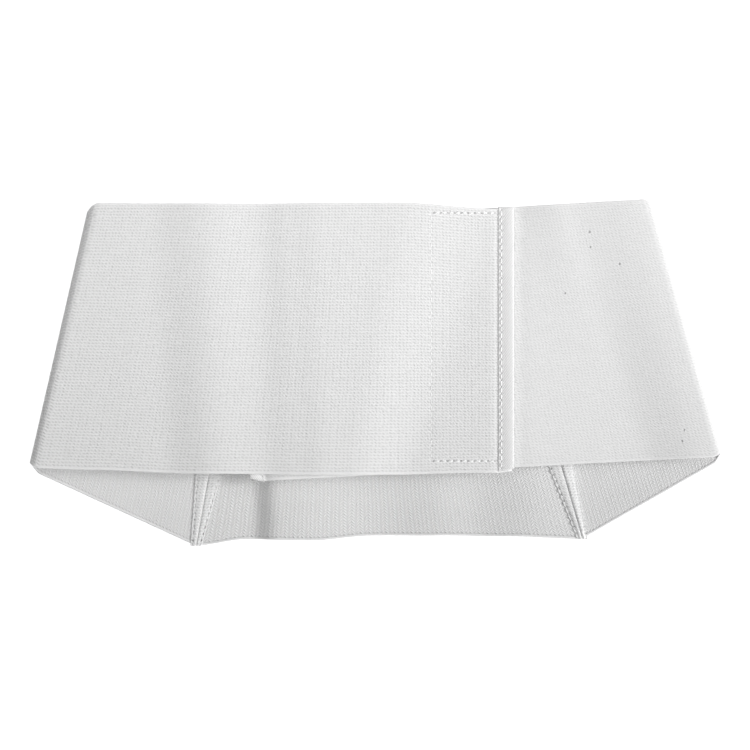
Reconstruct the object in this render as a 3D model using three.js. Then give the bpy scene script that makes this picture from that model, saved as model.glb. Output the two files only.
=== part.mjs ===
// An elastic abdominal binder, fastened as a loop and laid flat on its back.
// A wide woven band runs from its outer end in front, round the left fold, across the back and
// round the right fold, and ends under the front again. Two wedge seams in the back turn the band,
// so the loop is narrow at the waist, wide at the hip, and its back hangs lower than its front.
// Millimetres. +X is the wearer's left side of the front, +Y is towards the waist, +Z is up.
import * as THREE from 'three';

const { clamp, degToRad, lerp, smoothstep } = THREE.MathUtils;

// The band
const bandWidth = 160; // waist edge to hem
const cloth = 1.6; // thickness of the woven elastic
const clearance = 0.3; // left between pieces that touch

// The loop as it lies
const hipWidth = 419; // fold to fold along the hem of the front
const waistWidth = 339.5; // fold to fold along its waist edge
const waistShift = -3; // middle of the waist edge, from the middle of the hem
const waistLine = 103; // the front's waist edge, above the middle of the loop
const foldRadius = 6.5; // of the band's middle layer, half the height of the loop
const waistCorner = 3.5; // how far the waist edge drops where it rounds a fold
const hemCorner = 3.2; // how far the hem rises there

// The two ends
const outerEnd = 83.4; // the outer end, from the middle of the loop
const overlap = 160; // how far the ends lap over each other
const innerTilt = 3; // degrees that the inner stretch runs out of line
const innerRise = 7; // how far its hem lies above the outer one at the right fold
const innerWidth = 0.985 * bandWidth; // the inner stretch is pulled a little narrower
const pressedCloth = 1; // the elastic's thickness inside a binding
const bindingWidth = 9.5;
const bindingTape = 1; // wall of the folded tape
const hookWidth = 42; // what shows of the hook strip beside the binding
const hookLength = 152;
const hookThickness = 1.2;
const hookDrop = 3.2; // its upper end, below the waist edge

// The back
const backHemWidth = 235; // seam to seam along the hem
const backHemShift = 8; // middle of that hem, from the middle of the loop
const backTopWidth = 161.5; // seam to seam along the upper edge
const backTopShift = -1.3;
const backDrop = 45.4; // how far the back's hem hangs below the front's
const backHeight = 157; // of the centre panel
const backTilt = 4.2; // how much higher its right seam ends than its left
const flapCloth = 1.3; // the pressed seam allowances
const flapHem = 3.4; // width of an allowance at the hem
const flapTop = 10; // and above its taper
const flapTaper = 0.4; // the share of the seam's height over which it widens

// Lengths of the steps that the walls are made in
const frontStep = 5;
const backStep = 8;
const foldSteps = 10;
const rowsAcross = 8;

// Worked out from the sizes above
const frontHem = waistLine - bandWidth;
const innerEnd = outerEnd - overlap;
const foldHeight = 2 * foldRadius;
const bindingReach = pressedCloth / 2 + clearance + bindingTape;

// Each fold's radius at its two ends, as shares of foldRadius.
const FOLDS = {
  left: { side: -1, waist: 1.06, hem: 0.92 },
  right: { side: 1, waist: 1.14, hem: 0.83 },
};

// Crests and dips of the front. waist and hem say where the line of each crosses those edges, as
// shares of half their widths, and rise is a share of foldHeight above the fold.
const FRONT_WAVES = [
  { waist: -1, hem: -1, rise: 0 },
  { waist: -0.8, hem: -0.61, rise: 0.045 },
  { waist: -0.578, hem: -0.472, rise: 0.22 },
  { waist: -0.385, hem: -0.32, rise: 0.115 },
  { waist: -0.29, hem: -0.225, rise: 0.19 },
  { waist: -0.2, hem: -0.16, rise: 0.235 },
  { waist: 0.085, hem: -0.09, rise: 0.2 },
  { waist: 0.477, hem: 0.113, rise: -0.12 },
  { waist: 0.8, hem: 0.38, rise: -0.07 },
];

// The dip and crest between the outer end and the right fold, in the same columns.
const RIGHT_WAVES = [
  { waist: 0.68, hem: 0.77, rise: -0.25 },
  { waist: 0.96, hem: 0.95, rise: 0 },
];

// Where the back lifts off the surface. The steep row is an old packing crease. at is a share of
// half the hip width and rise a share of foldHeight.
const BACK_WAVES = [
  { at: -0.7, rise: 0 },
  { at: -0.5, rise: 0.055 },
  { at: -0.346, rise: 0 },
  { at: -0.295, rise: 0.31 },
  { at: -0.262, rise: 0.31 },
  { at: 0.03, rise: 0 },
  { at: 0.055, rise: 0 },
  { at: 0.185, rise: 0.07 },
  { at: 0.294, rise: 0.015 },
  { at: 0.45, rise: 0.13 },
  { at: 0.63, rise: 0 },
];

// How the edges wander from straight lines: rise as a share of the band's width.
const WAIST_EDGE = [
  { at: -0.97, rise: 0 },
  { at: -0.45, rise: -0.002 },
  { at: 0.1, rise: 0.002 },
  { at: 0.44, rise: -0.02 },
  { at: 0.51, rise: -0.015 },
];
const FRONT_HEM = [
  { at: -0.98, rise: 0 },
  { at: -0.825, rise: -0.005 },
  { at: -0.53, rise: -0.019 },
  { at: -0.1, rise: -0.024 },
  { at: 0.07, rise: -0.024 },
  { at: 0.27, rise: -0.0175 },
  { at: 0.35, rise: -0.0175 },
  { at: 0.4, rise: -0.01 },
];
const BACK_HEM = [
  { at: -1, rise: 0 },
  { at: -0.74, rise: 0.021 },
  { at: -0.38, rise: 0.013 },
  { at: -0.1, rise: 0.026 },
  { at: 0.25, rise: 0.022 },
  { at: 0.62, rise: 0.014 },
  { at: 1, rise: 0 },
];

// Passes smoothly from each row's rise to the next. place gives a row's distance along.
function riseAt(rows, distance, place) {
  const next = rows.findIndex((row) => distance < place(row));
  if (next === 0) return rows[0].rise;
  if (next < 0) return rows[rows.length - 1].rise;
  const [from, to] = [rows[next - 1], rows[next]];
  return lerp(from.rise, to.rise, smoothstep(distance, place(from), place(to)));
}

const waistX = (share) => waistShift + share * waistWidth / 2;
const hemX = (share) => share * hipWidth / 2;
const shareDown = (y) => clamp((waistLine - y) / bandWidth, 0, 1);
const waveX = (down) => (row) => lerp(waistX(row.waist), hemX(row.hem), down);

// Edges of the outer and the inner stretch, before the folds
const outerWaistY = (x) => waistLine + bandWidth * riseAt(WAIST_EDGE, x, (row) => waistX(row.at));
const outerHemY = (x) => frontHem + bandWidth * riseAt(FRONT_HEM, x, (row) => hemX(row.at));
const innerSlope = Math.tan(degToRad(innerTilt));
const innerHemY = (x) => frontHem + innerRise + innerSlope * (x - hipWidth / 2);
const innerWaistY = (x) => innerHemY(x) + innerWidth / Math.cos(degToRad(innerTilt));

// A fold is a round of the band about a slanted line, a little wider at the waist. foot and up
// give the line where the front meets the round, and out points away from the loop.
function makeFold({ side, waist, hem }, waistY, hemY) {
  const waistRadius = waist * foldRadius;
  const hemRadius = hem * foldRadius;
  const topX = waistX(side) - side * waistRadius;
  const footX = hemX(side) - side * hemRadius;
  const top = new THREE.Vector2(topX, waistY(topX));
  const foot = new THREE.Vector2(footX, hemY(footX));
  const length = top.distanceTo(foot);
  const up = top.clone().sub(foot).divideScalar(length);
  const out = new THREE.Vector2(up.y, -up.x).multiplyScalar(side);
  const flare = (waistRadius - hemRadius) / length;
  return { top, foot, up, out, hemRadius, flare, swing: Math.atan(Math.PI * flare) };
}

// How far a point of the unrolled band lies along the line where the round meets the back, and
// how far past it.
function pastRound(fold, high, wide) {
  const beyond = wide - Math.PI * fold.hemRadius;
  return {
    along: high * Math.cos(fold.swing) + beyond * Math.sin(fold.swing),
    past: beyond * Math.cos(fold.swing) - high * Math.sin(fold.swing),
  };
}

function measured(fold, flat) {
  const away = flat.clone().sub(fold.foot);
  return { high: away.dot(fold.up), wide: away.dot(fold.out) };
}

function placed(fold, high, wide) {
  return fold.foot.clone().addScaledVector(fold.up, high).addScaledVector(fold.out, wide);
}

// Bends the unrolled band round a fold: where the point lies in plan, and how far it has turned.
function bend(fold, flat) {
  const { high, wide } = measured(fold, flat);
  if (wide <= 0) return { plan: flat, turn: 0 };
  const { along, past } = pastRound(fold, high, wide);
  if (past >= 0) return { plan: placed(fold, along, -past), turn: Math.PI };
  const radius = fold.hemRadius + fold.flare * high;
  const turn = clamp(wide / radius, 0, Math.PI);
  return { plan: placed(fold, lerp(high, along, turn / Math.PI), radius * Math.sin(turn)), turn };
}

// The other way: the place on the unrolled band of a point of the back.
function unbend(fold, plan) {
  const { high, wide } = measured(fold, plan);
  const [along, past] = [high, -wide];
  const beyond = past * Math.cos(fold.swing) + along * Math.sin(fold.swing);
  const flatHigh = along * Math.cos(fold.swing) - past * Math.sin(fold.swing);
  return placed(fold, flatHigh, beyond + Math.PI * fold.hemRadius);
}

const leftFold = makeFold(FOLDS.left, outerWaistY, outerHemY);
const rightFold = makeFold(FOLDS.right, innerWaistY, innerHemY);

const radiusDown = ({ waist, hem }, down) => foldRadius * lerp(waist, hem, down);

// Heights of the band's middle layer
const backZ = (x) => cloth / 2 + foldHeight * riseAt(BACK_WAVES, x, (row) => hemX(row.at));

function outerZ(x, y) {
  const down = shareDown(y);
  const settled = smoothstep(x, hemX(-1), 0);
  const base = lerp(2 * radiusDown(FOLDS.left, down), foldHeight, settled);
  return cloth / 2 + base + foldHeight * riseAt(FRONT_WAVES, x, waveX(down));
}

// From the inner layer up to the outer: the inner binding and the hook strip lie between them.
function layerStep(x) {
  const bindingEdge = innerEnd + bindingWidth;
  const bindingBump = bindingReach - cloth / 2;
  const hookEdge = outerEnd - bindingWidth - hookWidth;
  const atBinding = 1 - smoothstep(x, bindingEdge, bindingEdge + bindingWidth);
  const atHook = smoothstep(x, hookEdge - 2 * bindingWidth, hookEdge);
  const hookBump = hookThickness + clearance;
  return cloth + clearance + bindingBump * atBinding + hookBump * atHook;
}

function innerZ(x, y) {
  const down = shareDown(y);
  const under = outerZ(Math.min(x, outerEnd), y) - layerStep(x);
  const base = 2 * radiusDown(FOLDS.right, down);
  const free = cloth / 2 + base + foldHeight * riseAt(RIGHT_WAVES, x, waveX(down));
  const dip = waveX(down)(RIGHT_WAVES[0]);
  return lerp(under, free, smoothstep(x, outerEnd, dip));
}

// The band's middle layer, as functions of a place on the unrolled band
function foldedLayer(fold, frontZ) {
  return (x, y) => {
    const { plan, turn } = bend(fold, new THREE.Vector2(x, y));
    const front = (1 + Math.cos(turn)) / 2;
    return new THREE.Vector3(plan.x, plan.y, lerp(backZ(plan.x), frontZ(plan.x, plan.y), front));
  };
}
const outerLayer = foldedLayer(leftFold, outerZ);
const innerLayer = foldedLayer(rightFold, innerZ);
const backLayer = (x, y) => new THREE.Vector3(x, y, backZ(x));

// Moves each vertex of a geometry to its place on a layer. place turns the vertex into x and y
// on the unrolled band and lift, the distance off the layer on its upper side in front.
function layOn(layer, geometry, place) {
  const position = geometry.getAttribute('position');
  const vertex = new THREE.Vector3();
  const probe = 0.05;
  for (let i = 0; i < position.count; i += 1) {
    const { x, y, lift } = place(vertex.fromBufferAttribute(position, i));
    const alongX = layer(x + probe, y).sub(layer(x - probe, y));
    const alongY = layer(x, y + probe).sub(layer(x, y - probe));
    const normal = alongX.cross(alongY).normalize();
    vertex.copy(layer(x, y)).addScaledVector(normal, lift);
    position.setXYZ(i, vertex.x, vertex.y, vertex.z);
  }
  geometry.computeVertexNormals();
  return geometry;
}

// Stations are lines across the band, each with its waist and hem end and the cloth's thickness.
function stationsBetween(count, stationAt) {
  return Array.from({ length: count + 1 }, (unused, i) => stationAt(i / count));
}

// A wall of cloth through stations, taken in the order that runs towards -X in front.
function clothWall(layer, row) {
  const stations = row[0].hem.x > row[row.length - 1].hem.x ? row : [...row].reverse();
  const geometry = new THREE.BoxGeometry(1, 1, 1, stations.length - 1, rowsAcross, 1);
  return layOn(layer, geometry, ({ x, y, z }) => {
    const station = stations[Math.round((x + 0.5) * (stations.length - 1))];
    const flat = station.waist.clone().lerp(station.hem, y + 0.5);
    return { x: flat.x, y: flat.y, lift: z * station.thickness };
  });
}

const steps = (distance, step) => Math.max(2, Math.round(Math.abs(distance) / step));

// Stations of a stretch's front, from the line x = from.waist, from.hem to a fold
function frontStations(from, fold, waistY, hemY) {
  return stationsBetween(steps(from.hem - fold.foot.x, frontStep), (share) => {
    const topX = lerp(from.waist, fold.top.x, share);
    const footX = lerp(from.hem, fold.foot.x, share);
    return {
      waist: new THREE.Vector2(topX, waistY(topX)),
      hem: new THREE.Vector2(footX, hemY(footX)),
      thickness: cloth,
    };
  });
}

// The last stations, pressed thin where the binding holds them
function endStations(end, waistY, hemY) {
  const tapeEnd = bindingTape + clearance;
  const mouth = bindingWidth + clearance;
  const rows = [
    { inset: tapeEnd, thickness: pressedCloth },
    { inset: mouth, thickness: pressedCloth },
    { inset: mouth + cloth / 2, thickness: cloth },
  ];
  return rows.map(({ inset, thickness }) => {
    const topX = end.waist + inset * end.inward;
    const footX = end.hem + inset * end.inward;
    return {
      waist: new THREE.Vector2(topX, waistY(topX)),
      hem: new THREE.Vector2(footX, hemY(footX)),
      thickness,
    };
  });
}

// Where a straight edge of the unrolled band leaves the round of a fold
function leavesRound(fold, from, to) {
  const start = measured(fold, from);
  const end = measured(fold, to);
  const short = -pastRound(fold, start.high, start.wide).past;
  const past = pastRound(fold, end.high, end.wide).past;
  return from.clone().lerp(to, short / (short + past));
}

function roundStations(fold, waistOut, hemOut) {
  return stationsBetween(foldSteps, (share) => {
    const corner = Math.sin(Math.PI * share);
    const waist = fold.top.clone().lerp(waistOut, share).addScaledVector(fold.up, -waistCorner * corner);
    const hem = fold.foot.clone().lerp(hemOut, share).addScaledVector(fold.up, hemCorner * corner);
    return { waist, hem, thickness: cloth };
  });
}

// A back seam's line in plan
function seamLine(side) {
  const hemY = frontHem - backDrop + side * backTilt / 2;
  return {
    hem: new THREE.Vector2(backHemShift + side * backHemWidth / 2, hemY),
    waist: new THREE.Vector2(backTopShift + side * backTopWidth / 2, hemY + backHeight),
  };
}
const leftSeam = seamLine(-1);
const rightSeam = seamLine(1);

// Stations of the back of a stretch, from the round of its fold to its seam
function sideStations(waistOut, hemOut, seam) {
  return stationsBetween(steps(seam.waist.x - waistOut.x, backStep), (share) => ({
    waist: waistOut.clone().lerp(seam.waist, share),
    hem: hemOut.clone().lerp(seam.hem, share),
    thickness: cloth,
  }));
}

// A stretch of band that goes round a fold: its end, front, round and side panel
function foldedStretch(fold, layer, end, seam, waistY, hemY) {
  const side = Math.sign(fold.out.x);
  const short = new THREE.Vector2(side * clearance / 2, 0);
  const flatSeam = {
    waist: unbend(fold, seam.waist.clone().add(short)),
    hem: unbend(fold, seam.hem.clone().add(short)),
  };
  const waistOut = leavesRound(fold, fold.top, flatSeam.waist);
  const hemOut = leavesRound(fold, fold.foot, flatSeam.hem);
  const endRows = endStations(end, waistY, hemY);
  const last = endRows[endRows.length - 1];
  const start = { waist: last.waist.x, hem: last.hem.x };
  const stations = [
    ...endRows,
    ...frontStations(start, fold, waistY, hemY).slice(1),
    ...roundStations(fold, waistOut, hemOut).slice(1),
    ...sideStations(waistOut, hemOut, flatSeam).slice(1),
  ];
  return clothWall(layer, stations);
}

const outerEndLine = { waist: outerEnd, hem: outerEnd, inward: -1 };
const innerEndLine = {
  waist: innerEnd - innerWidth * Math.sin(degToRad(innerTilt)),
  hem: innerEnd,
  inward: 1,
};

function centreBack() {
  const backHemY = (seamShare) => {
    const straight = lerp(leftSeam.hem.y, rightSeam.hem.y, seamShare);
    return straight + bandWidth * riseAt(BACK_HEM, 2 * seamShare - 1, (row) => row.at);
  };
  const stations = stationsBetween(steps(backHemWidth, frontStep), (share) => {
    const inset = lerp(clearance / 2, -clearance / 2, share);
    const waist = leftSeam.waist.clone().lerp(rightSeam.waist, share);
    const hem = new THREE.Vector2(lerp(leftSeam.hem.x, rightSeam.hem.x, share), backHemY(share));
    waist.x += inset;
    hem.x += inset;
    return { waist, hem, thickness: cloth };
  });
  return clothWall(backLayer, stations);
}

// The folded tape over an end: a U with a round nose. It stands just proud of the cloth's edges.
function endBinding(layer, end, waistY, hemY) {
  const slot = bindingReach - bindingTape;
  const nose = bindingWidth - bindingReach;
  const outline = new THREE.Shape();
  outline.moveTo(0, -bindingReach);
  outline.lineTo(nose, -bindingReach);
  outline.absarc(nose, 0, bindingReach, -Math.PI / 2, Math.PI / 2, false);
  outline.lineTo(0, bindingReach);
  outline.lineTo(0, slot);
  outline.lineTo(bindingWidth - bindingTape, slot);
  outline.lineTo(bindingWidth - bindingTape, -slot);
  outline.lineTo(0, -slot);
  const geometry = new THREE.ExtrudeGeometry(outline, {
    depth: 1, steps: 2 * rowsAcross, curveSegments: 6, bevelEnabled: false,
  });
  return layOn(layer, geometry, ({ x, y, z }) => {
    const down = end.inward < 0 ? z : 1 - z;
    const fromEnd = (bindingWidth - x) * end.inward;
    const topX = end.waist + fromEnd;
    const footX = end.hem + fromEnd;
    const high = waistY(topX) + clearance;
    const low = hemY(footX) - clearance;
    return { x: lerp(topX, footX, down), y: lerp(high, low, down), lift: y };
  });
}

function hookStrip() {
  const right = outerEnd - bindingWidth - clearance;
  const left = right - hookWidth + clearance;
  const top = outerWaistY(right) - hookDrop;
  const lift = -(cloth + hookThickness) / 2 - clearance;
  const geometry = new THREE.BoxGeometry(1, 1, 1, rowsAcross, 2 * rowsAcross, 1);
  return layOn(outerLayer, geometry, ({ x, y, z }) => ({
    x: lerp(left, right, x + 0.5),
    y: top - hookLength * (0.5 - y),
    lift: lift + z * hookThickness,
  }));
}

// A seam allowance, pressed open on the back's inner face on one side of its seam
function seamFlap(seam, side) {
  const geometry = new THREE.BoxGeometry(1, 1, 1, 2, 2 * rowsAcross, 1);
  const lift = cloth / 2 + clearance + flapCloth / 2;
  return layOn(backLayer, geometry, ({ x, y, z }) => {
    const down = 0.5 - y;
    const width = lerp(flapHem, flapTop, clamp((1 - down) / flapTaper, 0, 1));
    const across = side > 0 ? x + 0.5 : x - 0.5;
    const foot = seam.waist.clone().lerp(seam.hem, down);
    return {
      x: foot.x + side * clearance / 2 + across * width,
      y: foot.y,
      lift: lift + z * flapCloth,
    };
  });
}

const elastic = () => new THREE.MeshStandardMaterial({ color: 0xf1f1f0, roughness: 0.92, metalness: 0 });
const tape = () => new THREE.MeshStandardMaterial({ color: 0xf5f5f4, roughness: 0.75, metalness: 0 });
const hook = () => new THREE.MeshStandardMaterial({ color: 0xececea, roughness: 0.6, metalness: 0 });

const binder = new THREE.Group();

function addPiece(name, geometry, material) {
  const piece = new THREE.Mesh(geometry, material);
  piece.name = name;
  binder.add(piece);
}

addPiece(
  'outer_band',
  foldedStretch(leftFold, outerLayer, outerEndLine, leftSeam, outerWaistY, outerHemY),
  elastic(),
);
addPiece(
  'inner_band',
  foldedStretch(rightFold, innerLayer, innerEndLine, rightSeam, innerWaistY, innerHemY),
  elastic(),
);
addPiece('centre_back_panel', centreBack(), elastic());
addPiece('outer_end_binding', endBinding(outerLayer, outerEndLine, outerWaistY, outerHemY), tape());
addPiece('inner_end_binding', endBinding(innerLayer, innerEndLine, innerWaistY, innerHemY), tape());
addPiece('hook_strip', hookStrip(), hook());
addPiece('left_seam_side_flap', seamFlap(leftSeam, -1), elastic());
addPiece('left_seam_centre_flap', seamFlap(leftSeam, 1), elastic());
addPiece('right_seam_centre_flap', seamFlap(rightSeam, -1), elastic());
addPiece('right_seam_side_flap', seamFlap(rightSeam, 1), elastic());

// The origin is under the middle of the loop, on the surface that it lies on.
const bounds = new THREE.Box3().setFromObject(binder);
const middle = bounds.getCenter(new THREE.Vector3());
binder.position.set(-middle.x, -middle.y, -bounds.min.z);

export default binder;
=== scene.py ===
# %% [markdown]
# # An elastic abdominal binder, laid flat
# The real object is one wide strip of ribbed white elastic, closed in front as a loop and pressed flat
# on a table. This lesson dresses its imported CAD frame: cloth walls with rolled edges and real ribs,
# folded tape on the two ends, seam allowances, stitches, and a white studio around it all.
# Lengths are in metres, and the frame's own axes are used throughout.

# %% Load the frame
import math
import bpy
import mathutils
import numpy as np
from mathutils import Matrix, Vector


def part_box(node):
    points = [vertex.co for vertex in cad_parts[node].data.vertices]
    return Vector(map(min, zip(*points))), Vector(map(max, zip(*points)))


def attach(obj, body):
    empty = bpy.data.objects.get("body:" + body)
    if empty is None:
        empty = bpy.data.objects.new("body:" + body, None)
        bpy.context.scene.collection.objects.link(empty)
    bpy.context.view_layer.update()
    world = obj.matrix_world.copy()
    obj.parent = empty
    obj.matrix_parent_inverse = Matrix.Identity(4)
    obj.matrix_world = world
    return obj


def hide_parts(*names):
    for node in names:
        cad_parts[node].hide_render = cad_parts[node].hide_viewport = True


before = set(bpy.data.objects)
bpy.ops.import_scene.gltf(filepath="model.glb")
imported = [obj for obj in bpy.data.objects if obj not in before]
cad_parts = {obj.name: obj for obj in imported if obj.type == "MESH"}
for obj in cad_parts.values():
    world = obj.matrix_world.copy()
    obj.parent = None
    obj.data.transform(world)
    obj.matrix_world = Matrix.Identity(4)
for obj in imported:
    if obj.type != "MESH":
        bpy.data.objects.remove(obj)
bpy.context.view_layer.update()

# %% [markdown]
# ## The sizes of the binder
# A belt maker would write these on the pattern: the width of the elastic, how the loop lies, and the
# finish of its ends. The frame was drawn from the same list, so what is built here meets it.

# %% The band and the loop
MM = 0.001
band_width = 160 * MM
cloth = 1.6 * MM
clearance = 0.3 * MM
hip_width = 419 * MM
waist_width = 339.5 * MM
waist_shift = -3 * MM
waist_line = 103 * MM
fold_radius = 6.5 * MM
waist_corner = 3.5 * MM
hem_corner = 3.2 * MM
fold_height = 2 * fold_radius
front_hem = waist_line - band_width

# %% The ends
outer_end = 83.4 * MM
overlap = 160 * MM
inner_end = outer_end - overlap
inner_tilt = math.radians(3)
inner_rise = 7 * MM
inner_width = 0.985 * band_width
pressed_cloth = 1 * MM
binding_width = 9.5 * MM
binding_tape = 1 * MM
binding_reach = pressed_cloth / 2 + clearance + binding_tape
hook_width = 42 * MM
hook_length = 152 * MM
hook_thickness = 1.2 * MM
hook_drop = 3.2 * MM

# %% The back and its two seams
back_hem_width = 235 * MM
back_hem_shift = 8 * MM
back_top_width = 161.5 * MM
back_top_shift = -1.3 * MM
back_drop = 45.4 * MM
back_height = 157 * MM
back_tilt = 4.2 * MM
flap_cloth = 1.3 * MM
flap_hem = 3.4 * MM
flap_top = 10 * MM
flap_taper = 0.4

# %% [markdown]
# ## How the cloth rises and dips
# Elastic that has been packed keeps shallow waves and one steep crease. Each row below is a crest or
# a dip, with where it crosses the waist edge and the hem, as shares of half their widths, and how
# high it stands as a share of the loop's height. A cloth simulation would lose these remembered
# creases, so the heights are worked out from the rows.

# %% Waves of the front and the back
FRONT_WAVES = [
    {"waist": -1, "hem": -1, "rise": 0},
    {"waist": -0.8, "hem": -0.61, "rise": 0.045},
    {"waist": -0.578, "hem": -0.472, "rise": 0.22},
    {"waist": -0.385, "hem": -0.32, "rise": 0.115},
    {"waist": -0.29, "hem": -0.225, "rise": 0.19},
    {"waist": -0.2, "hem": -0.16, "rise": 0.235},
    {"waist": 0.085, "hem": -0.09, "rise": 0.2},
    {"waist": 0.477, "hem": 0.113, "rise": -0.12},
    {"waist": 0.8, "hem": 0.38, "rise": -0.07},
]
RIGHT_WAVES = [
    {"waist": 0.68, "hem": 0.77, "rise": -0.25},
    {"waist": 0.96, "hem": 0.95, "rise": 0},
]
BACK_WAVES = [
    {"at": -0.7, "rise": 0},
    {"at": -0.5, "rise": 0.055},
    {"at": -0.346, "rise": 0},
    {"at": -0.295, "rise": 0.31},
    {"at": -0.262, "rise": 0.31},
    {"at": 0.03, "rise": 0},
    {"at": 0.055, "rise": 0},
    {"at": 0.185, "rise": 0.07},
    {"at": 0.294, "rise": 0.015},
    {"at": 0.45, "rise": 0.13},
    {"at": 0.63, "rise": 0},
]

# %% How the edges wander from straight lines
WAIST_EDGE = [
    {"at": -0.97, "rise": 0},
    {"at": -0.45, "rise": -0.002},
    {"at": 0.1, "rise": 0.002},
    {"at": 0.44, "rise": -0.02},
    {"at": 0.51, "rise": -0.015},
]
FRONT_HEM = [
    {"at": -0.98, "rise": 0},
    {"at": -0.825, "rise": -0.005},
    {"at": -0.53, "rise": -0.019},
    {"at": -0.1, "rise": -0.024},
    {"at": 0.07, "rise": -0.024},
    {"at": 0.27, "rise": -0.0175},
    {"at": 0.35, "rise": -0.0175},
    {"at": 0.4, "rise": -0.01},
]
BACK_HEM = [
    {"at": -1, "rise": 0},
    {"at": -0.74, "rise": 0.021},
    {"at": -0.38, "rise": 0.013},
    {"at": -0.1, "rise": 0.026},
    {"at": 0.25, "rise": 0.022},
    {"at": 0.62, "rise": 0.014},
    {"at": 1, "rise": 0},
]


# %% A smooth height between the rows
def lerp(a, b, share):
    return a + (b - a) * share


def together(*measures):
    """Two or three measures of each point of a grid, as its place."""
    return np.stack(np.broadcast_arrays(*measures), axis=-1)


def smooth(x, low, high):
    share = np.clip((x - low) / (high - low), 0, 1)
    return share * share * (3 - 2 * share)


def rise_at(rows, x, place):
    total = rows[0]["rise"] + 0 * x
    for before, after in zip(rows, rows[1:]):
        total = total + (after["rise"] - before["rise"]) * smooth(x, place(before), place(after))
    return total


def waist_x(share):
    return waist_shift + share * waist_width / 2


def hem_x(share):
    return share * hip_width / 2


def share_down(y):
    return np.clip((waist_line - y) / band_width, 0, 1)


def wave_x(down):
    return lambda row: lerp(waist_x(row["waist"]), hem_x(row["hem"]), down)


print("the loop is", round(waist_width / MM), "mm wide at the waist,",
      round(hip_width / MM), "mm at the hem")


# %% Edges of the outer and the inner stretch
def outer_waist_y(x):
    return waist_line + band_width * rise_at(WAIST_EDGE, x, lambda row: waist_x(row["at"]))


def outer_hem_y(x):
    return front_hem + band_width * rise_at(FRONT_HEM, x, lambda row: hem_x(row["at"]))


def inner_hem_y(x):
    return front_hem + inner_rise + math.tan(inner_tilt) * (x - hip_width / 2)


def inner_waist_y(x):
    return inner_hem_y(x) + inner_width / math.cos(inner_tilt)


# %% [markdown]
# ## Folding a strip
# At each side the strip turns back under itself round a slanted line. Paper would do the same: the
# flat strip rolls round a slim cone and comes away at a new angle. The functions below roll any point
# of the unrolled strip round that cone, so ribs and stitches drawn on the flat strip follow it.

# %% The round of a fold
squareness = 0.72


def squared(wave):
    """A sine or cosine pulled towards its ends, so that the round is flattened as if pressed."""
    return np.sign(wave) * np.abs(wave) ** squareness


class Fold:
    def __init__(self, side, waist_share, hem_share, waist_y, hem_y):
        self.side = side
        self.waist_radius = waist_share * fold_radius
        self.hem_radius = hem_share * fold_radius
        top_x = waist_x(side) - side * self.waist_radius
        foot_x = hem_x(side) - side * self.hem_radius
        self.top = np.array([top_x, waist_y(top_x)])
        self.foot = np.array([foot_x, hem_y(foot_x)])
        length = np.linalg.norm(self.top - self.foot)
        self.up = (self.top - self.foot) / length
        self.out = side * np.array([self.up[1], -self.up[0]])
        self.flare = (self.waist_radius - self.hem_radius) / length
        self.swing = math.atan(math.pi * self.flare)

    def measured(self, flat):
        away = flat - self.foot
        return away @ self.up, away @ self.out

    def placed(self, high, wide):
        return self.foot + high[..., None] * self.up + wide[..., None] * self.out

    def past_round(self, high, wide):
        beyond = wide - math.pi * self.hem_radius
        along = high * math.cos(self.swing) + beyond * math.sin(self.swing)
        past = beyond * math.cos(self.swing) - high * math.sin(self.swing)
        return along, past

    def bend(self, flat):
        """Where points of the unrolled strip lie in plan, and how far they have turned."""
        high, wide = self.measured(flat)
        along, past = self.past_round(high, wide)
        turn = np.clip(wide / self.radius(high), 0, math.pi)
        swung = lerp(high, along, turn / math.pi)
        rounded = self.placed(swung, self.radius(high) * squared(np.sin(turn)))
        under = self.placed(along, -past)
        plan = np.where((wide <= 0)[..., None], flat, np.where((past >= 0)[..., None], under, rounded))
        turn = np.where(wide <= 0, 0, np.where(past >= 0, math.pi, turn))
        return plan, turn

    def radius(self, high):
        return self.hem_radius + self.flare * high

    def unbend(self, plan):
        """The place on the unrolled strip of a point of the back."""
        high, wide = self.measured(plan)
        past = -wide
        beyond = past * math.cos(self.swing) + high * math.sin(self.swing)
        flat_high = high * math.cos(self.swing) - past * math.sin(self.swing)
        return self.placed(np.asarray(flat_high), np.asarray(beyond + math.pi * self.hem_radius))

    def leaves_round(self, start, end):
        """Where a straight edge of the strip comes away from the round."""
        short = -self.past_round(*self.measured(start))[1]
        past = self.past_round(*self.measured(end))[1]
        return lerp(start, end, short / (short + past))


LEFT_SHARES = (1.06, 0.92)
RIGHT_SHARES = (1.14, 0.83)
left_fold = Fold(-1, *LEFT_SHARES, outer_waist_y, outer_hem_y)
right_fold = Fold(1, *RIGHT_SHARES, inner_waist_y, inner_hem_y)
left_slant = math.degrees(math.atan2(left_fold.up[0], left_fold.up[1]))
print("the left fold leans", round(left_slant, 1), "degrees")


# %% Heights of the layers
def back_z(x):
    return cloth / 2 + fold_height * rise_at(BACK_WAVES, x, lambda row: hem_x(row["at"]))


def outer_z(x, y):
    down = share_down(y)
    settled = smooth(x, hem_x(-1), 0)
    base = lerp(2 * fold_radius * lerp(*LEFT_SHARES, down), fold_height, settled)
    return cloth / 2 + base + fold_height * rise_at(FRONT_WAVES, x, wave_x(down))


def layer_step(x):
    binding_edge = inner_end + binding_width
    hook_edge = outer_end - binding_width - hook_width
    at_binding = 1 - smooth(x, binding_edge, binding_edge + binding_width)
    at_hook = smooth(x, hook_edge - 2 * binding_width, hook_edge)
    bump = (binding_reach - cloth / 2) * at_binding + (hook_thickness + clearance) * at_hook
    return cloth + clearance + bump


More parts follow.
